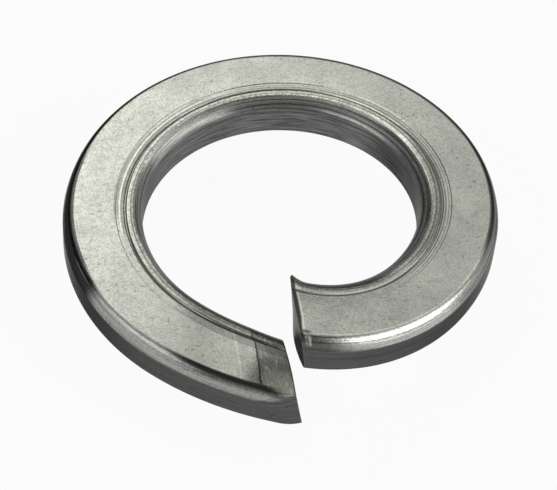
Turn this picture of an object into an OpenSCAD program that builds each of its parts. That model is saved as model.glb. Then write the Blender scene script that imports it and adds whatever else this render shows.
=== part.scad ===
// Split spring lock washer: one flat bar coiled into a single left-hand turn,
// cut through aslant, with both ends bent away from the ring.
// The hole's axis is +Z, the ring's lowest point lies at z = 0 and the cut faces -Y.

/* [Ring] */
// outside diameter of the ring
outer_d = 27.4; // [24:0.1:40]
// diameter of the hole
bore_d = 17.4; // [12:0.1:19]
// thickness of the bar
thick = 2.8; // [2.2:0.1:5]

/* [Coil] */
// rise of the coil over a full turn
coil_rise = 3; // [0.5:0.1:8]
// further lift of the high end above the coil
high_lift = 1.5; // [0:0.1:4]
// part of the turn over which the high end bends up, in degrees
high_bend = 50; // [20:1:90]
// further drop of the low end below the coil
low_drop = 1.2; // [0:0.1:4]
// part of the turn over which the low end bends down, in degrees
low_bend = 39; // [20:1:90]

/* [Cut] */
// sideways place of the cut at the mouth's edge
cut_x = 0.84; // [-2:0.02:3]
// sideways gap between the two ends at the mouth's edge, seen from above
end_gap = 0.12; // [0.1:0.02:2]
// slant of the high end's cut off the radial line, in degrees
high_slant = 12; // [0:1:20]
// slant of the low end's cut off the radial line, in degrees
low_slant = 14; // [0:1:20]
// lean of the high end's cut off the upright, in degrees
high_lean = 7; // [0:1:15]
// lean of the low end's cut off the upright, in degrees
low_lean = 12; // [0:1:15]
// swell of the high end's cut face, most at its bottom edge
high_swell = 0.3; // [0:0.01:0.4]
// swell of the low end's cut face, most at its top edge
low_swell = 0.13; // [0:0.01:0.4]
// distance from the hole at which the high end's swell starts
swell_start = 0.9; // [0:0.1:2]
// how far the high end's inner corner is cut back
nick = 0.22; // [0:0.02:0.5]
// width of that cut corner across the bar
nick_w = 0.5; // [0.2:0.05:1]
// length of the low end's tip beyond its crease
tip_len = 2; // [0.5:0.1:4]
// drop of the tip below the crease
tip_drop = 0.12; // [0:0.01:0.5]
// how far the tip's outer corner is drawn in
tuck = 0.42; // [0:0.02:0.6]
// length at the low end over which it is drawn in
tuck_len = 1.7; // [0.5:0.1:3]
// height of the burr on the high end's inner corner
burr_h = 0.45; // [0:0.05:0.8]
// length of the burr along the hole's edge
burr_len = 1.1; // [0.5:0.1:3]
// width of the burr across the bar
burr_w = 1.2; // [0.5:0.1:2.5]

/* [Outer edge] */
// width of the rounded shoulder between the top face and the outer wall
shoulder_w = 0.6; // [0.2:0.05:1.2]
// depth of the shoulder
shoulder_h = 0.95; // [0.2:0.05:1.2]
// part of a quarter turn that the shoulder's round takes, in degrees
shoulder_turn = 62; // [30:1:85]
// length at the low end over which the shoulder wears away
fade_len = 2.4; // [0.5:0.1:4]
// share of the shoulder that is left at the low cut
fade_to = 0.35; // [0.2:0.05:1]
// radius of the bottom outer edge
foot_r = 0.35; // [0.1:0.05:0.8]

/* [Inner edge] */
// width of the rounded mouth between the top face and the hole
mouth_w = 0.65; // [0.2:0.05:1]
// depth of the mouth
mouth_h = 0.8; // [0.2:0.05:1]
// part of a quarter turn that the mouth's round takes, in degrees
mouth_turn = 25; // [15:1:85]
// width of the flat lip round the mouth
lip_w = 0.5; // [0.2:0.05:1]
// width of the groove outside the lip
groove_w = 0.2; // [0.1:0.05:0.5]
// depth of the groove
groove_d = 0.1; // [0.02:0.01:0.3]
// width of the shallow step outside the groove
step_w = 0.5; // [0.2:0.05:0.8]
// depth of the step
step_d = 0.05; // [0.01:0.01:0.2]
// radius of the bottom inner edge
heel_r = 0.3; // [0.1:0.05:0.8]

/* [Hidden] */
stations = 96; // slices along the turn
arc_steps = 4; // slices along each rounded edge
stock = 0.05; // what the bar has beyond the finished walls
quarter = 90;
half = 180;
whole = 360;
steel = [0.66, 0.67, 0.64];
outer_r = outer_d / 2;
bore_r = bore_d / 2;
mid_r = (outer_r + bore_r) / 2;
mouth_r = bore_r + mouth_w;

// Degrees from the front line at which a cut through x crosses radius r at depth z.
function cut_deg(x, slant, lean, r, z) =
    asin((x + (r - mouth_r) * tan(slant) - z * tan(lean)) / r);
// 0 at radius from and at the outer wall, 1 midway between them.
function swell(r, from) = let (u = min(1, max(0, (r - from) / (outer_r - from)))) 4 * u * (1 - u);
function high_deg(r, z) = cut_deg(
    cut_x + end_gap / 2 + high_swell * swell(r, bore_r + swell_start) * z / thick
    + nick * min(1, max(0, 1 - (r - bore_r) / nick_w)), high_slant, high_lean, r, z);
function low_deg(r, z) = whole + cut_deg(
    cut_x - end_gap / 2 + low_swell * swell(r, bore_r) * (1 + z / thick),
    low_slant, low_lean, r, z);
// The angle that a length along the turn takes at radius r.
function deg_of(length, r) = length / r * half / PI;

// Height of the bar's top face at t degrees round the turn.
high_t = high_deg(mid_r, 0);
low_t = low_deg(mid_r, 0);
function coil_z(t) =
    -coil_rise * (t - half) / whole
    + high_lift * pow(max(0, (high_t + high_bend - t) / high_bend), 2)
    - low_drop * pow(max(0, (t - low_t + low_bend) / low_bend), 2);

// The tip drops beyond a crease that runs beside the low cut.
function tip_z(t, r, z) = -tip_drop * max(0, 1 - (low_deg(r, z) - t) / deg_of(tip_len, r));

// The burr lifts the top's inner corner next to the high cut.
function burr_z(t, r, z) = z < -thick / 2 ? 0 :
    burr_h * pow(max(0, 1 - (t - high_deg(r, z)) / deg_of(burr_len, mouth_r)), 2)
    * max(0, 1 - (r - bore_r) / burr_w);

// The bar's section as [radius, depth], from the hole outwards: its top run, then its bottom run.
mouth = [for (i = [0 : arc_steps]) let (a = mouth_turn * i / arc_steps)
    [bore_r + mouth_w * (1 - cos(a)) / (1 - cos(mouth_turn)),
     -mouth_h * (1 - sin(a) / sin(mouth_turn))]];
shoulder = [for (i = [0 : arc_steps]) let (a = shoulder_turn * i / arc_steps)
    [outer_r - shoulder_w * (1 - sin(a) / sin(shoulder_turn)),
     -shoulder_h * (1 - cos(a)) / (1 - cos(shoulder_turn))]];
groove_r = mouth_r + lip_w;
step_r = groove_r + groove_w + step_w;
marks = [
    [groove_r, 0],
    [groove_r + groove_w / 2, -step_d - groove_d],
    [groove_r + groove_w, -step_d],
    [step_r - step_d, -step_d],
    [step_r, 0]];
heel = [for (i = [0 : arc_steps]) let (a = quarter * i / arc_steps)
    [bore_r + heel_r * (1 - cos(a)), -thick + heel_r * (1 - sin(a))]];
foot = [for (i = [0 : arc_steps]) let (a = quarter * i / arc_steps)
    [outer_r - foot_r * (1 - sin(a)), -thick + foot_r * (1 - cos(a))]];
sole_w = outer_r - foot_r - bore_r - heel_r;
sole = [for (i = [1 : len(marks)])
    [bore_r + heel_r + sole_w * i / (len(marks) + 1), -thick]];
// Each rounded edge that meets a wall runs on along its last chord, into the stock.
function past(from, to) = from + (to - from) * (1 + stock / abs(to[0] - from[0]));
function tail(run) = [for (i = [1 : len(run) - 1]) run[i]];
function head(run) = [for (i = [0 : len(run) - 2]) run[i]];
top_run = concat([past(mouth[1], mouth[0])], tail(mouth), marks, head(shoulder),
    [past(shoulder[arc_steps - 1], shoulder[arc_steps])]);
bottom_run = concat([past(heel[1], heel[0])], tail(heel), sole, head(foot),
    [past(foot[arc_steps - 1], foot[arc_steps])]);
side = len(top_run);
loop = concat(top_run, [for (i = [side - 1 : -1 : 0]) bottom_run[i]]);
count = len(loop);

// Degrees round the turn at share f of the way from the high cut to the low one.
function turn_deg(f, r, z) = high_deg(r, z) * (1 - f) + low_deg(r, z) * f;

// Share of the shoulder that is left at t degrees round the turn.
function left_at(t) =
    1 - (1 - fade_to) * max(0, 1 - (low_t - t) / deg_of(fade_len, outer_r));

// How far radius r is drawn in at t degrees round the turn.
function tuck_at(t, r, z) = tuck * max(0, (r - mid_r) / (outer_r - mid_r))
    * pow(max(0, 1 - (low_deg(r, z) - t) / deg_of(tuck_len, r)), 2);

// The section carried round the turn, from the high cut to the low one.
function place(p, f) = let (
    s = turn_deg(f, p[0], p[1]),
    k = p[0] > outer_r - shoulder_w && p[1] > -thick / 2 ? left_at(s) : 1,
    r = outer_r - (outer_r - p[0]) * k - tuck_at(s, p[0], p[1]), z = p[1] * k,
    t = turn_deg(f, r, z))
    [r * sin(t), -r * cos(t), z + coil_z(t) + tip_z(t, r, z) + burr_z(t, r, z)];
bar_points = [for (s = [0 : stations]) for (p = loop) place(p, s / stations)];
bar_low = min([for (p = bar_points) p[2]]);
bar_high = max([for (p = bar_points) p[2]]);
free_height = bar_high - bar_low;
wall_faces = [for (s = [0 : stations - 1]) for (i = [0 : count - 1]) let (
    a = s * count + i, b = s * count + (i + 1) % count, c = b + count, d = a + count)
    each [[a, b, c], [a, c, d]]];
function cap_faces(at) = [for (i = [0 : side - 2]) let (
    a = at + i, b = at + i + 1, c = at + count - 2 - i, d = at + count - 1 - i)
    each [[a, d, c], [a, c, b]]];
function turned(faces) = [for (f = faces) [f[0], f[2], f[1]]];

// The coiled bar before its inner and outer walls are brought to size.
module coiled_bar() {
    translate([0, 0, -bar_low])
        polyhedron(points = bar_points, convexity = 6,
            faces = concat(wall_faces, cap_faces(0), turned(cap_faces(stations * count))));
}

// The tube that gives both walls their true round form.
module wall_tube() {
    difference() {
        translate([0, 0, -thick])
            cylinder(r = outer_r, h = free_height + 2 * thick, $fn = 180);
        translate([0, 0, -2 * thick])
            cylinder(r = bore_r, h = free_height + 4 * thick, $fn = 180);
    }
}

module spring_washer() {
    color(steel) intersection() {
        coiled_bar();
        wall_tube();
    }
}

spring_washer();
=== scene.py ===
"""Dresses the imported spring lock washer: one bright coiled bar, its finish, and a pale studio."""
import math

import bpy
import numpy as np
from bpy.props import FloatProperty, FloatVectorProperty, PointerProperty
from mathutils import Matrix, Vector


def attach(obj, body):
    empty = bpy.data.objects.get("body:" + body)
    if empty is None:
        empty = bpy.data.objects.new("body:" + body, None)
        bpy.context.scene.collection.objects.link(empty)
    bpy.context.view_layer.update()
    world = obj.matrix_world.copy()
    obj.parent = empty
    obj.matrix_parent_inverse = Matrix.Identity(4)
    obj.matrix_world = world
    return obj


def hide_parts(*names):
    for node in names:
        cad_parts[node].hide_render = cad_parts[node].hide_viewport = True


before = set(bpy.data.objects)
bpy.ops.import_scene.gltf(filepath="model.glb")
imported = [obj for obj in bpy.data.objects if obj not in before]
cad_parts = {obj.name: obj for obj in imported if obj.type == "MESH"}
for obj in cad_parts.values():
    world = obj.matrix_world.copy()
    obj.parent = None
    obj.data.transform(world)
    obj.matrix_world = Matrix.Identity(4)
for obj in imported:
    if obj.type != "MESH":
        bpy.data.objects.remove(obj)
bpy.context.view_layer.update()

bl_info = {
    "name": "Spring lock washer",
    "version": (1, 0, 0),
    "blender": (4, 5, 0),
    "location": "3D View > Sidebar > Washer",
    "description": "Builds a split spring lock washer and the studio it stands in",
    "category": "Add Mesh",
}

TURN = 2 * math.pi
MM = 1000.0
# Slices along each rounded edge, rows through the bar's thickness and slices round the turn.
ARC_STEPS = 12
ROWS = 12
STATIONS = 400
# What the spun ring leaves open between its ends, in radians, and how far slices crowd to the ends.
OPENING = 0.02
CROWDING = 0.7
# Distances of the rows of points that keep the groove's and the step's edges crisp.
CLOSE, NEAR, WIDE = 0.03 / MM, 0.05 / MM, 0.08 / MM
FLAT_ROWS = 14
SMOOTH_ANGLE = math.radians(40)


def length(name, description, default):
    return FloatProperty(name=name, description=description, default=default,
                         subtype="DISTANCE", unit="LENGTH", precision=5)


def angle(name, description, default):
    return FloatProperty(name=name, description=description, default=math.radians(default),
                         subtype="ANGLE", unit="ROTATION")


def share(name, description, default):
    return FloatProperty(name=name, description=description, default=default,
                         min=0, max=1, subtype="FACTOR")


def colour(name, description, default):
    return FloatVectorProperty(name=name, description=description, default=default,
                               size=3, min=0, max=1, subtype="COLOR")


class WasherShape(bpy.types.PropertyGroup):
    """Sizes of the coiled bar."""
    outer: length("Outside diameter", "Diameter of the outer wall", 0.0274)
    bore: length("Hole diameter", "Diameter of the hole", 0.0174)
    thick: length("Thickness", "Thickness of the bar", 0.0028)
    rise: length("Coil rise", "Rise of the coil over a full turn", 0.003)
    high_lift: length("High lift", "Further lift of the high end", 0.0015)
    high_bend: angle("High bend", "Part of the turn over which the high end bends up", 50)
    low_drop: length("Low drop", "Further drop of the low end", 0.0012)
    low_bend: angle("Low bend", "Part of the turn over which the low end bends down", 39)
    cut_x: length("Cut place", "Sideways place of the cut at the mouth's edge", 0.00084)
    gap: length("Gap", "Sideways gap between the two ends at the mouth's edge", 0.00012)
    high_slant: angle("High slant", "Slant of the high end's cut off the radial line", 12)
    low_slant: angle("Low slant", "Slant of the low end's cut off the radial line", 14)
    high_lean: angle("High lean", "Lean of the high end's cut off the upright", 7)
    low_lean: angle("Low lean", "Lean of the low end's cut off the upright", 12)
    high_swell: length("High swell", "Swell of the high end's cut face at its bottom", 0.0003)
    low_swell: length("Low swell", "Swell of the low end's cut face at its top", 0.00013)
    swell_start: length("Swell start", "Distance from the hole where the high swell starts", 0.0009)
    nick: length("Nick", "How far the high end's inner corner is cut back", 0.00022)
    nick_w: length("Nick width", "Width of that cut corner across the bar", 0.0005)
    tip_len: length("Tip length", "Length of the low tip beyond its crease", 0.002)
    tip_drop: length("Tip drop", "Drop of the tip below the crease", 0.00012)
    tuck: length("Tuck", "How far the low tip's outer corner is drawn in", 0.00042)
    tuck_len: length("Tuck length", "Length at the low end over which the corner is drawn in", 0.0017)
    burr_h: length("Burr height", "Height of the burr on the high end's inner corner", 0.00045)
    burr_len: length("Burr length", "Length of the burr along the hole's edge", 0.0011)
    burr_w: length("Burr width", "Width of the burr across the bar", 0.0012)
    shoulder_w: length("Shoulder width", "Width of the rounded outer top edge", 0.0006)
    shoulder_h: length("Shoulder depth", "Depth of the rounded outer top edge", 0.00095)
    shoulder_turn: angle("Shoulder round", "Part of a quarter turn that the shoulder takes", 62)
    fade_len: length("Shoulder wear", "Length at the low end over which the shoulder wears away", 0.0024)
    fade_to: share("Worn shoulder", "Share of the shoulder that is left at the low cut", 0.35)
    mouth_w: length("Mouth width", "Width of the rounded inner top edge", 0.00065)
    mouth_h: length("Mouth depth", "Depth of the rounded inner top edge", 0.0008)
    mouth_turn: angle("Mouth round", "Part of a quarter turn that the mouth takes", 25)
    lip_w: length("Lip width", "Width of the flat lip round the mouth", 0.0005)
    groove_w: length("Groove width", "Width of the groove outside the lip", 0.0002)
    groove_d: length("Groove depth", "Depth of the groove", 0.0001)
    step_w: length("Step width", "Width of the shallow step outside the groove", 0.0005)
    step_d: length("Step depth", "Depth of the step", 0.00005)
    offset: length("Offset", "How far the turned rings round the hole sit off its centre", 0.00015)
    heel: length("Heel radius", "Radius of the bottom inner edge", 0.0003)
    foot: length("Foot radius", "Radius of the bottom outer edge", 0.00035)


class WasherFinish(bpy.types.PropertyGroup):
    """Colours and gloss of the plated steel."""
    flat: colour("Flats", "Colour of the pressed top and bottom", (0.56, 0.565, 0.50))
    # The walls' and the edges' colours are darker than the flats partly as the plating's own tone and partly
    # as painted shade.
    wall: colour("Walls", "Colour of the outer wall and the hole's wall", (0.103, 0.104, 0.103))
    edge: colour("Edges", "Colour of the rounded edges", (0.258, 0.262, 0.246))
    cut: colour("Cut ends", "Colour of the sheared ends", (0.20, 0.20, 0.19))
    # This colour serves the pits, which are the steel's own, and all the painted shade: the groove, the dark
    # lines, the dark reflection and the dark lines at the ends.
    dirt_and_shade: colour("Dirt", "Colour of the pits and of the grime in the groove", (0.022, 0.022, 0.022))
    metal: share("Metal", "How metallic the plating is", 0.9)
    matt: share("Flat roughness", "Roughness of the flats", 0.24)
    gloss: share("Edge roughness", "Roughness of the rounded edges", 0.17)


class WasherStudio(bpy.types.PropertyGroup):
    """Floor, light and camera."""
    floor: colour("Floor", "Colour of the floor", (0.85, 0.85, 0.85))
    white: share("White floor", "How far the floor shows as plain white", 0.93)
    key: FloatProperty(name="Key lamp", description="Strength of the main lamp", default=0.175,
                       min=0, unit="POWER")
    key_size: length("Key size", "Diameter of the main lamp", 0.20)
    elevation: angle("Camera elevation", "Height of the camera above the horizon", 48.157)
    roll: angle("Camera roll", "Turn of the camera about its own axis", 4.436)
    distance: length("Camera distance", "Distance of the camera from the washer", 0.133643)
    aim_right: length("Aim right", "How far right of the hole's axis the camera aims", 0.000062)
    aim_down: length("Aim down", "How far below the coil's middle the camera aims", 0.002898)
    lens: FloatProperty(name="Lens", description="Focal length of the camera in millimetres",
                        default=137.53, min=1)


KEY_PLACE = (-0.16, 0.22, 0.30)

# Parts of the turn: first and last degree, and how softly each ends. The cut lies at 0 and at 360.
ARCS = {
    "all": (-40, 400, 16),
    "left": (200, 294, 10),
    "right": (50, 130, 14),
    "low_side": (318, 400, 16),
    "lit_mouth": (200, 254, 10),
    "left_step": (208, 286, 10),
    "back_wall": (134, 262, 16),
    "right_wall": (84, 140, 14),
    "right_shoulder": (78, 114, 8),
    "shine": (17, 59, 10),
    "back_highlight": (130, 170, 10),
    "hole_shade_line": (128, 252, 14),
    "outline": (66, 312, 14),
    "back_outline": (112, 204, 14),
    "left_outline": (248, 306, 12),
    "far_side": (41, 212, 20),
    "right_shade": (72, 145, 12),
    "left_shade": (250, 296, 10),
    "upper_gleam": (289, 300, 4),
    "lower_gleam": (292, 304, 4),
}

# Bands of painted shade on the flats: from and to, measured out from the mouth's edge, and soft ends in mm,
# arc, share.
DIM_BANDS = (
    (0.46, 0.91, 0.05, "left", 0.45),
    (0.97, 1.33, 0.06, "left_step", 0.35),
    (0.03, 1.20, 0.05, "low_side", 0.35),
)

# Painted shade in dark lines round the bar: distance out from the named edge and half width in mm, arc,
# strength.
DARK_LINES = (
    ("rim", 0.14, 0.22, "outline", 0.85),
    ("rim", 0.02, 0.14, "back_outline", 0.68),
    ("rim", -0.02, 0.12, "left_outline", 0.85),
    ("mouth", 0.23, 0.05, "all", 0.60),
    ("mouth", 0.81, 0.06, "far_side", 0.60),
    ("mouth", 1.00, 0.05, "far_side", 0.40),
    ("mouth", 0.44, 0.06, "right", 0.55),
)

# Dark lines inside the mouth, weaker where the mouth has painted light: distance from the hole and half width
# in mm.
MOUTH_LINES = ((0.62, 0.06), (0.20, 0.05), (0.42, 0.04))

# The softboxes of the sky: direction, cosine at the edge, cosine at the core, strength.
SOFTBOXES = (
    ((0.92, -0.32, 0.16), 0.82, 0.96, 3.6),
    ((0.94, 0.30, 0.05), 0.85, 0.97, 0.8),
    ((-0.80, -0.50, 0.33), 0.80, 0.95, 1.5),
    ((0.60, 0.25, 0.76), 0.88, 0.97, 0.30),
    ((-0.50, 0.05, 0.87), 0.93, 0.98, 0.45),
)


class Bar:
    """The bar's section and the path that it follows, from the same sizes as the solid."""

    def __init__(self, s):
        self.s = s
        self.outer_r, self.bore_r = s.outer / 2, s.bore / 2
        self.mid_r = (self.outer_r + self.bore_r) / 2
        self.mouth_r = self.bore_r + s.mouth_w
        self.high_t, self.low_t = self.high(self.mid_r, 0), self.low(self.mid_r, 0)

    def cut(self, x, slant, lean, r, z):
        """Radians from the front line at which a cut through x crosses a radius at a depth."""
        return np.arcsin((x + (r - self.mouth_r) * math.tan(slant) - z * math.tan(lean)) / r)

    def swell(self, r, start):
        """0 at the start radius and at the outer wall, 1 midway."""
        u = np.clip((r - start) / (self.outer_r - start), 0, 1)
        return 4 * u * (1 - u)

    def high(self, r, z):
        s = self.s
        push = (s.high_swell * self.swell(r, self.bore_r + s.swell_start) * z / s.thick
                + s.nick * np.clip(1 - (r - self.bore_r) / s.nick_w, 0, 1))
        return self.cut(s.cut_x + s.gap / 2 + push, s.high_slant, s.high_lean, r, z)

    def low(self, r, z):
        s = self.s
        push = s.low_swell * self.swell(r, self.bore_r) * (1 + z / s.thick)
        return TURN + self.cut(s.cut_x - s.gap / 2 + push, s.low_slant, s.low_lean, r, z)

    def turn(self, way, r, z):
        """Radians round the turn at a share of the way from the high cut to the low one."""
        return self.high(r, z) * (1 - way) + self.low(r, z) * way

    def worn(self, t, r, z):
        """Radius and depth once the shoulder is worn, the corner drawn in and the rings set off centre."""
        s = self.s
        left = 1 - (1 - s.fade_to) * np.maximum(0, 1 - (self.low_t - t) * self.outer_r / s.fade_len)
        k = np.where((r > self.outer_r - s.shoulder_w + 1e-6) & (z > -s.thick / 2), left, 1)
        tuck = s.tuck * np.maximum(0, 1 - (self.low(r, z) - t) * r / s.tuck_len) ** 2
        tuck *= np.clip((r - self.mid_r) / (self.outer_r - self.mid_r), 0, 1)
        shift = s.offset * np.sin(t) * np.clip((r - self.bore_r) / s.mouth_w, 0, 1)
        shift *= np.clip((self.mid_r - r) / s.mouth_w, 0, 1) * (z > -s.thick / 2)
        return self.outer_r - (self.outer_r - r) * k - tuck + shift, z * k

    def coil(self, t):
        """Height of the bar's top face."""
        s = self.s
        up = np.maximum(0, (self.high_t + s.high_bend - t) / s.high_bend)
        down = np.maximum(0, (t - self.low_t + s.low_bend) / s.low_bend)
        return -s.rise * (t - math.pi) / TURN + s.high_lift * up ** 2 - s.low_drop * down ** 2

    def tip(self, t, r, z):
        return -self.s.tip_drop * np.maximum(0, 1 - (self.low(r, z) - t) * r / self.s.tip_len)

    def burr(self, t, r, z):
        s = self.s
        along = np.maximum(0, 1 - (t - self.high(r, z)) * self.mouth_r / s.burr_len)
        return np.where(z < -s.thick / 2, 0,
                        s.burr_h * along ** 2 * np.maximum(0, 1 - (r - self.bore_r) / s.burr_w))

    def runs(self):
        """The section's top run and bottom run from the hole outwards, as radius and depth."""
        s, k, m = self.s, self.s.shoulder_turn, self.s.mouth_turn
        arc = [i / ARC_STEPS for i in range(ARC_STEPS + 1)]
        mouth = [(self.bore_r + s.mouth_w * (1 - math.cos(a * m)) / (1 - math.cos(m)),
                  -s.mouth_h * (1 - math.sin(a * m) / math.sin(m))) for a in arc]
        shoulder = [(self.outer_r - s.shoulder_w * (1 - math.sin(a * k) / math.sin(k)),
                     -s.shoulder_h * (1 - math.cos(a * k)) / (1 - math.cos(k))) for a in arc]
        groove_r = self.mouth_r + s.lip_w
        step_r = groove_r + s.groove_w + s.step_w
        marks = [(groove_r - s.lip_w / 2, 0),
                 (groove_r - WIDE, 0),
                 (groove_r - CLOSE, 0),
                 (groove_r, -s.step_d / 2),
                 (groove_r + s.groove_w * 0.3, -s.step_d - s.groove_d * 0.9),
                 (groove_r + s.groove_w * 0.6, -s.step_d - s.groove_d),
                 (groove_r + s.groove_w, -s.step_d),
                 (groove_r + s.groove_w + s.step_w / 2, -s.step_d),
                 (step_r - s.step_d, -s.step_d),
                 (step_r, 0),
                 (step_r + NEAR, 0)]
        flat = spread((step_r + 2 * NEAR, 0), (self.outer_r - s.shoulder_w - NEAR, 0), FLAT_ROWS)
        top = mouth + marks + flat + shoulder
        heel = [(self.bore_r + s.heel * (1 - math.cos(a * TURN / 4)),
                 -s.thick + s.heel * (1 - math.sin(a * TURN / 4))) for a in arc]
        foot = [(self.outer_r - s.foot * (1 - math.sin(a * TURN / 4)),
                 -s.thick + s.foot * (1 - math.cos(a * TURN / 4))) for a in arc]
        sole = spread(heel[-1], foot[0], len(top) - len(heel) - len(foot) + 2)[1:-1]
        return top, heel + sole + foot


def spread(a, b, n):
    """A row of n points from a to b."""
    shares = [i / (n - 1) for i in range(n)]
    return [(a[0] + (b[0] - a[0]) * k, a[1] + (b[1] - a[1]) * k) for k in shares]


def deselect():
    if bpy.context.object and bpy.context.object.mode != "OBJECT":
        bpy.ops.object.mode_set(mode="OBJECT")
    bpy.ops.object.select_all(action="DESELECT")


class Sock:
    """A node's output that takes part in Python expressions."""

    def __init__(self, shader, out):
        self.shader, self.out = shader, out

    def math(self, operation, *others):
        return self.shader.node("ShaderNodeMath", {"operation": operation},
                                dict(enumerate((self,) + others)))

    def __add__(self, o):
        return self.math("ADD", o)

    def __radd__(self, o):
        return self.math("ADD", o)

    def __sub__(self, o):
        return self.math("SUBTRACT", o)

    def __rsub__(self, o):
        return self.shader.node("ShaderNodeMath", {"operation": "SUBTRACT"}, {0: o, 1: self})

    def __mul__(self, o):
        return self.math("MULTIPLY", o)

    def __rmul__(self, o):
        return self.math("MULTIPLY", o)

    def __abs__(self):
        return self.math("ABSOLUTE")

    def low(self, o):
        return self.math("MINIMUM", o)

    def high(self, *others):
        """The greatest of this value and the others."""
        greatest = self
        for o in others:
            greatest = greatest.math("MAXIMUM", o)
        return greatest

    def ramp(self, start, end):
        """0 where the value is at start, 1 where it is at end, smooth between."""
        return self.shader.node("ShaderNodeMapRange", {"interpolation_type": "SMOOTHSTEP"},
                                {0: self, 1: start, 2: end, 3: 0.0, 4: 1.0})

    def line(self, at, half):
        """1 on a line where the value is at, fading out over its half width."""
        return abs(self - at).ramp(half, half * 0.4)

    def span(self, first, last, soft):
        """1 between two values, fading in and out over a soft length inside them."""
        return self.ramp(first, first + soft) * self.ramp(last, last - soft)


class Shader:
    """Builds one material's or world's nodes."""

    def __init__(self, owner):
        owner.use_nodes = True
        self.tree = owner.node_tree
        self.tree.nodes.clear()

    def node(self, kind, settings=None, inputs=None, output=0):
        n = self.tree.nodes.new(kind)
        for key, value in (settings or {}).items():
            setattr(n, key, value)
        for key, value in (inputs or {}).items():
            if isinstance(value, Sock):
                self.tree.links.new(value.out, n.inputs[key])
            else:
                n.inputs[key].default_value = value
        return Sock(self, n.outputs[output]) if n.outputs else None

    def parts(self, vector):
        first = self.node("ShaderNodeSeparateXYZ", None, {0: vector})
        return [Sock(self, o) for o in first.out.node.outputs]

    def join(self, x, y, z):
        return self.node("ShaderNodeCombineXYZ", None, {0: x, 1: y, 2: z})

    def dot(self, a, b):
        return self.node("ShaderNodeVectorMath", {"operation": "DOT_PRODUCT"}, {0: a, 1: b}, 1)

    def mix(self, factor, a, b):
        """Colour a where factor is 0, b where it is 1."""
        a, b = [(*c, 1) if isinstance(c, tuple) and len(c) == 3 else c for c in (a, b)]
        return self.node("ShaderNodeMix", {"data_type": "RGBA"}, {0: factor, 6: a, 7: b}, 2)

    def tint(self, colour, value):
        """A colour times a value."""
        grey = self.join(value, value, value)
        return self.node("ShaderNodeVectorMath", {"operation": "MULTIPLY"}, {0: colour, 1: grey})

    def noise(self, vector, scale=1.0, detail=2.0, roughness=0.5, distortion=0.0):
        return self.node("ShaderNodeTexNoise", {"noise_dimensions": "3D"}, {
            "Vector": vector, "Scale": scale, "Detail": detail, "Roughness": roughness,
            "Distortion": distortion})


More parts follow.
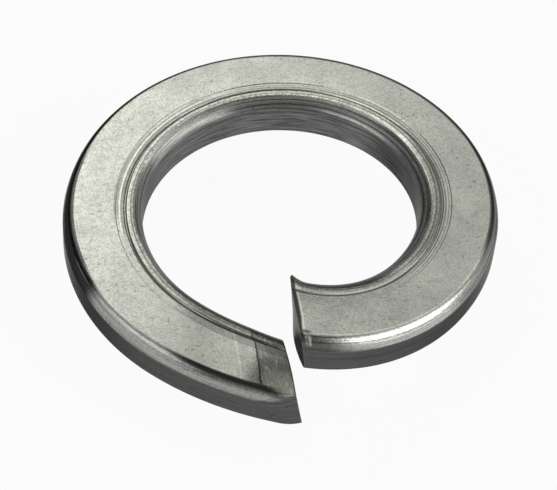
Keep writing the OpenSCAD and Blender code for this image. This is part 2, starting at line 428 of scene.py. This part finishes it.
class PlatedSteel:
    """Plated spring steel: pale pitted flats, bright rounded edges and dark drawn walls; the edges and walls
    are darker partly as painted shade, and painted highlights and shade lie over all.
    """

    def __init__(self, shape, finish):
        self.f = finish
        self.mat = bpy.data.materials.new("zinc_steel_finish")
        self.sh = Shader(self.mat)
        self.at = {"mouth": shape.mouth_w * MM,
                   "rim": ((shape.outer - shape.bore) / 2 - shape.shoulder_w) * MM,
                   "lip_end": (shape.mouth_w + shape.lip_w) * MM,
                   "groove": (shape.mouth_w + shape.lip_w + shape.groove_w / 4) * MM,
                   "crease": shape.tip_len * MM,
                   "shoulder_foot": -shape.shoulder_h * MM,
                   "mouth_foot": -shape.mouth_h * MM}
        self.places((shape.outer + shape.bore) / 4 * MM)
        self.textures()
        self.zones()

    def places(self, mid_r):
        """Where a point lies: along, across and deep in mm, round in degrees, and off each cut in mm."""
        sh = self.sh
        bar = sh.node("ShaderNodeAttribute", {"attribute_name": "bar"}, None, 1)
        self.along, self.across, self.depth = sh.parts(bar)
        self.turn = self.along * math.degrees(1 / mid_r)
        ends = sh.node("ShaderNodeAttribute", {"attribute_name": "ends"}, None, 1)
        self.from_high, self.from_low, _ = sh.parts(ends)
        # Distance from the high cut for the lines beside it, which run closer to it at the rim.
        self.border = self.from_high + self.across.ramp(3.0, self.at["rim"]) * 0.10

    def textures(self):
        sh, place = self.sh, self.sh.node("ShaderNodeTexCoord", None, None, 3)
        lengthwise = sh.join(self.along * 0.10, self.across * 2.2, self.depth * 2.2)
        ringwise = sh.join(self.along * 0.05, self.across * 9.0, self.depth * 9.0)
        self.drawn = sh.noise(lengthwise, scale=3.0, detail=4.0, roughness=0.65)
        self.turned = sh.noise(ringwise, scale=2.0, detail=3.0, roughness=0.7)
        self.fine = sh.noise(place, scale=9000.0, detail=2.0, roughness=0.6)
        self.pits = sh.noise(place, scale=3600.0, detail=3.0, roughness=0.7)
        self.blotch = sh.noise(place, scale=420.0, detail=3.0, roughness=0.6)
        crackle = sh.noise(place, scale=2300.0, detail=3.0, roughness=0.55, distortion=1.2)
        self.veins = abs(crackle - 0.5).ramp(0.0, 0.055)
        self.streak = self.turned.ramp(0.36, 0.64)
        self.speckle = sh.noise(place, scale=5200.0, detail=2.0, roughness=0.7).ramp(0.42, 0.62)

    def zones(self):
        """Masks of the bar's faces, edges and sides."""
        across, depth, at = self.across, self.depth, self.at
        on_rim = across.ramp(at["rim"] - 0.2, at["rim"] + 0.1)
        self.shoulder = on_rim * depth.ramp(-0.01, -0.08)
        self.outer_wall = on_rim * depth.ramp(at["shoulder_foot"] + 0.13, at["shoulder_foot"] - 0.07)
        self.mouth = across.ramp(at["mouth"] + 0.25, at["mouth"] - 0.05) * depth.ramp(-0.04, -0.14)
        self.bore_wall = (across.ramp(at["mouth"] + 0.25, at["mouth"] - 0.35)
                          * depth.ramp(at["mouth_foot"] + 0.35, at["mouth_foot"]))
        self.wall = self.outer_wall.high(self.bore_wall)
        self.edge = self.shoulder.high(self.mouth)
        self.rings = across.ramp(2.4, 1.2) * (1 - self.wall)
        self.top = depth.ramp(-0.30, -0.12)
        self.tip = self.from_low.ramp(at["crease"] + 0.05, at["crease"] - 0.10) * self.top
        self.left, self.right = self.arc("left"), self.arc("right")
        self.low_side, self.lit = self.arc("low_side"), self.arc("lit_mouth")

    def arc(self, name):
        return self.turn.span(*ARCS[name])

    def scratches(self):
        """Short scratches on the tip."""
        sh = self.sh
        lines = sh.noise(sh.join(self.from_low * 5.0, self.across * 0.7, 0.0), scale=2.0, roughness=0.7)
        return lines.ramp(0.58, 0.66) * self.tip

    def flats(self):
        """The pressed top and bottom, with the lip, the turned bands and the marks beside the cuts, painted
        highlights and shade round the mouth, and the tip in the edges' darker colour as painted shade.
        """
        sh, f, across, top = self.sh, self.f, self.across, self.top
        edge = self.at["mouth"]
        lip = across.span(edge - 0.01, self.at["lip_end"] - 0.03, 0.08) * top
        burr = self.from_high.ramp(1.3, 0.6) * across.ramp(1.3, 0.9) * top
        grain = 0.41 + self.blotch * 0.53 + self.fine * 0.56 + self.veins * 0.14
        grain += (self.turned - 0.5) * self.rings * 0.9
        grain += self.scratches() * 0.8 + self.from_low.line(3.3, 0.09) * top * 0.2
        # Painted highlight: a bright line beside the high cut; the burr's grain is added too.
        grain += self.border.line(0.35, 0.06) * top * 0.5 + burr * (self.veins * 0.5 - 0.15)
        grain += lip * (self.speckle - 0.45) * 0.35
        # Painted highlight: a bright line along the mouth's edge, fainter on the right.
        grain += across.line(edge + 0.09, 0.07) * top * self.speckle * (0.4 - self.right * 0.25)
        # Painted shade on the lip on the right.
        grain *= 1 - across.span(edge - 0.09, edge + 0.47, 0.06) * top * self.right * 0.42
        # Painted shade in bands on the left and by the low end.
        for first, last, soft, arc, share_off in DIM_BANDS:
            grain *= 1 - across.span(edge + first, edge + last, soft) * self.arc(arc) * share_off
        # Painted highlight: a bright line on the left.
        grain += across.line(edge + 0.94, 0.07) * self.left * 0.30
        # Painted shade: the tip beyond the crease takes the edges' darker colour.
        return sh.mix(self.tip * 0.75, sh.tint(tuple(f.flat), grain), sh.tint(tuple(f.edge), grain * 1.35))

    def round_edges(self):
        """The shoulder and the mouth, with painted shade in the mouth's hollow, beside the high cut and on
        the right, painted light, glints and shine, and darker near the low cut.
        """
        depth, from_high, shoulder = self.depth, self.from_high, self.shoulder
        # Painted shade deep in the mouth's hollow.
        hollow_shade = self.mouth * depth.ramp(-0.12, -0.40)
        # Painted shade on the shoulder beside the high cut.
        high_cut_shade = shoulder * from_high.ramp(3.2, 1.2)
        # Painted highlights: two glints on the shoulder beside the high cut.
        glint = from_high.line(0.30, 0.07) * 0.6 + from_high.line(0.50, 0.12)
        glint *= shoulder * depth.ramp(-0.75, -0.40)
        # Painted shade from the hollow and the high cut; the edges also grow darker near the low cut.
        level = (1 - hollow_shade * 0.30) * (1 - high_cut_shade * 0.65) * (1 - self.from_low.ramp(2.0, 0.6) * 0.65)
        # Painted highlights: the glints and a shine on the right front of the shoulder.
        level += glint * 1.2 + shoulder * self.arc("shine") * 0.6
        # Painted light in the mouth on the left.
        level *= 1 + self.mouth * self.lit * 0.4
        # Painted shade on the lower right of the shoulder.
        level *= 1 - self.arc("right_shoulder") * depth.ramp(-0.25, -0.45) * shoulder * 0.65
        # Painted highlight: a bright line low in the mouth at the back and where the mouth has painted light.
        level += self.across.line(0.09, 0.07) * (self.arc("back_highlight") + self.lit * 0.45) * self.streak * 1.4
        level *= 0.05 + self.drawn + self.streak * 0.85 + self.speckle * 0.22
        return self.sh.tint(tuple(self.f.edge), level)

    def walls(self):
        """The drawn outer wall and the hole's wall, with strokes that are stronger in the hole, painted light
        on the hole's wall at the back and painted shade on it at the right.
        """
        bore = self.bore_wall
        level = 0.40 + self.drawn * 0.6 + self.streak * 0.40
        level += bore * (self.drawn.ramp(0.32, 0.68) - 0.5) * 0.8
        # Painted light on the hole's wall at the back.
        level *= 1 + bore * self.arc("back_wall") * 0.75
        # Painted shade on the hole's wall at the right.
        level *= 1 - bore * self.arc("right_wall") * 0.35
        return self.sh.tint(tuple(self.f.wall), level)

    def dark_reflection(self):
        """A painted dark reflection on the left of the shoulder and the outer wall, with two lighter streaks
        left out of it.
        """
        across, rim = self.across, self.at["rim"]
        gleam = (across.line(rim + 0.18, 0.04) * self.arc("upper_gleam")).high(
            across.line(rim + 0.30, 0.03) * self.arc("lower_gleam"))
        end = self.turn.ramp(309, 302) * (1 - self.outer_wall)
        end += self.turn.ramp(330, 290) * self.outer_wall * 0.85
        # Painted shade: a black band standing in for a dark reflection, from the flats' outer edge outwards.
        dark_reflection = across.ramp(rim - 0.03, rim + 0.03) * (1 - gleam) * self.turn.ramp(205, 242)
        return dark_reflection * end * self.drawn.ramp(0.74, 0.64) * 0.95

    def ring_shade(self):
        """Painted shade that runs round the bar: the darkened groove, the dark lines, the shaded mouth, dark
        lines inside the mouth and a dark line in the hole.
        """
        across, turn, mouth = self.across, self.turn, self.at["mouth"]
        # Painted shade in the groove, fainter on the left, on the right and by the low end.
        groove = across.line(self.at["groove"], 0.10)
        groove *= 0.80 - self.left * 0.75 - (self.right + self.low_side) * 0.40
        # Painted shade: dark lines round the outer rim and on the flats near the mouth.
        lines = [across.line(self.at[edge] + out, half) * self.arc(arc) * strength
                 for edge, out, half, arc, strength in DARK_LINES]
        mouth_lines = sum(across.line(at, half) for at, half in MOUTH_LINES) * self.mouth * (0.6 - self.lit * 0.5)
        # Painted shade on the mouth and lip, on the right and on the left.
        right_shade = across.span(mouth - 0.31, mouth - 0.05, 0.06) * self.arc("right_shade") * 0.75
        left_shade = across.span(mouth - 0.19, mouth + 0.15, 0.08) * self.arc("left_shade") * 0.6
        # Painted shade along the mouth's edge at the front, either side of the cut.
        front = across.ramp(mouth + 0.19, mouth + 0.07) * turn.ramp(51, 36).high(turn.ramp(307, 322)) * 0.65
        # Painted shade: a dark line just below where the mouth meets the hole's wall.
        hole_shade = self.depth.line(self.at["mouth_foot"] - 0.05, 0.06) * self.arc("hole_shade_line")
        hole_shade *= across.ramp(0.2, 0.1) * 0.55
        return groove.high(*lines, mouth_lines, right_shade, left_shade, front, hole_shade)

    def end_shade(self):
        """Painted shade at the two ends: the crease, dark lines beside the cuts, the corner by the high one
        and the rim near the low one.
        """
        across, rim, from_low = self.across, self.at["rim"], self.from_low
        # Painted shade in the tip's crease.
        crease = (from_low + (self.blotch - 0.5) * 0.6).line(self.at["crease"], 0.09) * self.top * 0.8
        # Painted shade: dark lines along the top at both cuts.
        lips = (self.border.ramp(0.28, 0.21) + from_low.line(0.03, 0.07)) * self.top * 0.9
        # Painted shade in the outer corner by the high cut.
        corner = self.from_high.ramp(0.85, 0.45) * across.line(rim - 0.04, 0.16) * 0.75
        # Painted shade: a dark line along the outer rim near the low end.
        outline = across.line(rim + 0.14, 0.22) * self.turn.ramp(330, 340) * from_low.ramp(0.3, 1.8) * 0.85
        return crease.high(lips, corner, outline)

    def skin(self):
        """All the colours, one over the other."""
        sh, f = self.sh, self.f
        # The edges and walls take their darker colours here, partly as painted shade.
        skin = sh.mix(self.wall, sh.mix(self.edge, self.flats(), self.round_edges()), self.walls())
        on_cut = self.from_high.low(self.from_low).ramp(0.03, 0.005)
        skin = sh.mix(on_cut, skin, sh.tint(tuple(f.cut), 0.5 + self.fine * 0.8))
        pits = self.pits.ramp(0.40, 0.29) * 0.5
        # The pits are the steel's own; the dark reflection, the ring shade and the end shade mixed in with
        # them are painted shade.
        return sh.mix(pits.high(self.dark_reflection(), self.ring_shade(), self.end_shade()), skin, tuple(f.dirt_and_shade))

    def material(self):
        sh, f = self.sh, self.f
        rough = f.matt + (f.gloss - f.matt) * self.edge + (self.fine - 0.5) * 0.10
        rough += self.wall * 0.10 + self.mouth * 0.12
        relief = self.fine * 0.5 + self.pits * 0.8 + self.veins * 0.5
        relief += self.drawn * self.edge * 2.0 + self.turned * (self.rings + self.edge)
        bump = sh.node("ShaderNodeBump", None, {
            "Strength": 0.4, "Distance": 0.012 / MM, "Height": relief})
        shader = sh.node("ShaderNodeBsdfPrincipled", None, {
            "Base Color": self.skin(), "Metallic": f.metal - self.mouth * 0.35, "Roughness": rough,
            "Normal": bump, "Specular Tint": (0.35, 0.35, 0.35, 1), "Specular IOR Level": 0.3})
        sh.node("ShaderNodeOutputMaterial", None, {"Surface": shader})
        return self.mat


class WASHER_OT_coil(bpy.types.Operator):
    """Build the coiled bar with its grooves, cut ends and finish"""
    bl_idname = "washer.coil"
    bl_label = "Coiled bar"

    def execute(self, context):
        s, bar = context.scene.washer_shape, Bar(context.scene.washer_shape)
        top, bottom = bar.runs()
        columns = len(top)
        deselect()
        bpy.ops.mesh.primitive_grid_add(x_subdivisions=columns - 1, y_subdivisions=ROWS, size=2)
        piece = context.object
        piece.name = piece.data.name = "coiled_bar"
        for v in piece.data.vertices:
            i, j = round((v.co.x + 1) / 2 * (columns - 1)), (v.co.y + 1) / 2
            (r0, z0), (r1, z1) = bottom[i], top[i]
            v.co = (r0 + (r1 - r0) * j, 0, z0 + (z1 - z0) * j)
        sweep = TURN - OPENING
        bpy.ops.object.mode_set(mode="EDIT")
        bpy.ops.mesh.select_all(action="SELECT")
        bpy.ops.mesh.spin(steps=STATIONS, angle=-sweep, center=(0, 0, 0), axis=(0, 0, 1),
                          use_auto_merge=False)
        bpy.ops.mesh.select_all(action="SELECT")
        bpy.ops.mesh.normals_make_consistent(inside=False)
        bpy.ops.object.mode_set(mode="OBJECT")
        self.coil(piece, bar, sweep)
        deselect()
        piece.select_set(True)
        context.view_layer.objects.active = piece
        bpy.ops.object.shade_smooth_by_angle(angle=SMOOTH_ANGLE)
        piece.data.materials.append(PlatedSteel(s, context.scene.washer_finish).material())
        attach(piece, "root")
        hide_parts("spring_washer")
        return {"FINISHED"}

    def coil(self, piece, bar, sweep):
        """Moves the spun ring's points to the coil's path and keeps each point's place on the bar."""
        mesh = piece.data
        spun = np.empty(len(mesh.vertices) * 3)
        mesh.vertices.foreach_get("co", spun)
        x, y, z = spun.reshape(-1, 3).T
        r, phi = np.hypot(x, y), (np.arctan2(y, x) + OPENING / 2) % TURN - OPENING / 2
        way = np.clip(phi / sweep, 0, 1)
        way = way - CROWDING * np.sin(TURN * way) / TURN
        worn_r, worn_z = bar.worn(bar.turn(way, r, z), r, z)
        t = bar.turn(way, worn_r, worn_z)
        height = worn_z + bar.coil(t) + bar.tip(t, worn_r, worn_z) + bar.burr(t, worn_r, worn_z)
        placed = np.stack([worn_r * np.sin(t), -worn_r * np.cos(t), height - height.min()], -1)
        bpy.context.scene["washer_mid"] = float(-height.min())
        mesh.vertices.foreach_set("co", placed.ravel())
        where = np.stack([t * bar.mid_r, r - bar.bore_r, z], -1) * MM
        from_high, from_low = t - bar.high(worn_r, worn_z), bar.low(worn_r, worn_z) - t
        ends = np.stack([from_high * r, from_low * r, 0 * t], -1) * MM
        for name, values in (("bar", where), ("ends", ends)):
            attribute = mesh.attributes.new(name, "FLOAT_VECTOR", "POINT")
            attribute.data.foreach_set("vector", values.astype(np.float32).ravel())
        mesh.update()


class WASHER_OT_studio(bpy.types.Operator):
    """Lay the pale floor, light it and set the camera"""
    bl_idname = "washer.studio"
    bl_label = "Studio"

    def execute(self, context):
        st = context.scene.washer_studio
        scene = context.scene
        deselect()
        bpy.ops.mesh.primitive_plane_add(size=4, location=(0, 0, 0))
        floor = context.object
        floor.name = floor.data.name = "floor"
        mat = bpy.data.materials.new("pale_floor")
        sh = Shader(mat)
        seen = self.seen(sh)
        diffuse = sh.node("ShaderNodeBsdfDiffuse", None, {"Color": (*st.floor, 1)})
        glow = sh.node("ShaderNodeEmission", None, {"Color": (1, 1, 1, 1), "Strength": 1.0})
        sh.node("ShaderNodeOutputMaterial", None, {
            "Surface": sh.node("ShaderNodeMixShader", None, {0: seen * st.white, 1: diffuse, 2: glow})})
        floor.data.materials.append(mat)
        self.sky(scene)
        self.lamp("key_lamp", KEY_PLACE, st.key_size, st.key)
        self.camera(scene, st)
        scene.view_settings.view_transform = "Standard"
        return {"FINISHED"}

    def seen(self, sh):
        """1 for rays that show the background: to the camera, off metal and through glass."""
        path = sh.node("ShaderNodeLightPath")
        outs = path.out.node.outputs
        camera, glossy, through = [
            Sock(sh, outs["Is %s Ray" % kind]) for kind in ("Camera", "Glossy", "Transmission")]
        return camera.high(glossy, through)

    def sky(self, scene):
        """A dim room with a panel overhead behind the washer, a low glow, a soft front and softboxes."""
        world = bpy.data.worlds.new("studio")
        scene.world = world
        sh = Shader(world)
        direction = sh.node("ShaderNodeTexCoord", None, None, 0)
        x, y, z = sh.parts(direction)
        panel = x.ramp(-0.26, -0.14) * y.ramp(0.15, 0.40) * z.ramp(0.42, 0.56) * z.ramp(0.94, 0.86)
        left_half = x.ramp(0.08, -0.08) * (0.52 + 0.32 * z.ramp(0.66, 0.77))
        right_rim = 0.22 * x.ramp(0.14, 0.32)
        low_glow = 0.18 * z.ramp(0.26, 0.12) * x.ramp(-0.50, -0.10)
        front = y.ramp(0.10, -0.25) * (0.08 + 0.10 * z.ramp(0.97, 0.90))
        level = 0.03 + panel * (0.54 + left_half + right_rim) + low_glow + front
        for place, wide, narrow, light in SOFTBOXES:
            level += light * sh.dot(direction, Vector(place).normalized()).ramp(wide, narrow)
        sky = sh.node("ShaderNodeBackground", None, {"Color": (1, 1, 1, 1), "Strength": level})
        sh.node("ShaderNodeOutputWorld", None, {"Surface": sky})

    def lamp(self, name, place, size, power):
        """A round lamp that points at the washer."""
        deselect()
        bpy.ops.object.light_add(type="AREA", location=place)
        lamp = bpy.context.object
        lamp.name = lamp.data.name = name
        lamp.rotation_euler = Vector(place).to_track_quat("Z", "Y").to_euler()
        lamp.data.shape, lamp.data.size, lamp.data.energy = "DISK", size, power
        lamp.visible_camera = False

    def camera(self, scene, st):
        """A camera in front of the cut, above it and turned a little about its own axis."""
        elevation, roll = st.elevation, st.roll
        back = Vector((0, -math.cos(elevation), math.sin(elevation)))
        right = Vector((1, 0, 0))
        up = back.cross(right)
        target = right * st.aim_right - up * st.aim_down + Vector((0, 0, scene["washer_mid"]))
        across = right * math.cos(roll) + up * math.sin(roll)
        upright = up * math.cos(roll) - right * math.sin(roll)
        deselect()
        bpy.ops.object.camera_add(location=target + back * st.distance)
        cam = bpy.context.object
        cam.name = cam.data.name = "camera"
        cam.matrix_world = Matrix.Translation(target + back * st.distance) @ Matrix(
            (across, upright, back)).transposed().to_4x4()
        cam.data.sensor_width, cam.data.lens = 36, st.lens
        cam.data.sensor_fit = "HORIZONTAL"
        cam.data.clip_start, cam.data.clip_end = 0.01, 20
        scene.camera = cam


class WASHER_PT_panel(bpy.types.Panel):
    """Lists the washer's parts and their settings"""
    bl_idname = "WASHER_PT_panel"
    bl_label = "Spring lock washer"
    bl_space_type = "VIEW_3D"
    bl_region_type = "UI"
    bl_category = "Washer"

    def draw(self, context):
        for group, operator in (("washer_shape", "washer.coil"), ("washer_finish", None),
                                ("washer_studio", "washer.studio")):
            box = self.layout.box()
            data = getattr(context.scene, group)
            for name in data.__annotations__:
                box.prop(data, name)
            if operator:
                box.operator(operator)


CLASSES = (WasherShape, WasherFinish, WasherStudio, WASHER_OT_coil, WASHER_OT_studio, WASHER_PT_panel)


def register():
    for c in CLASSES:
        bpy.utils.register_class(c)
    bpy.types.Scene.washer_shape = PointerProperty(type=WasherShape)
    bpy.types.Scene.washer_finish = PointerProperty(type=WasherFinish)
    bpy.types.Scene.washer_studio = PointerProperty(type=WasherStudio)


def unregister():
    for name in ("washer_shape", "washer_finish", "washer_studio"):
        delattr(bpy.types.Scene, name)
    for c in reversed(CLASSES):
        bpy.utils.unregister_class(c)


def main():
    register()
    bpy.ops.washer.coil()
    bpy.ops.washer.studio()


if __name__ == "__main__":
    main()
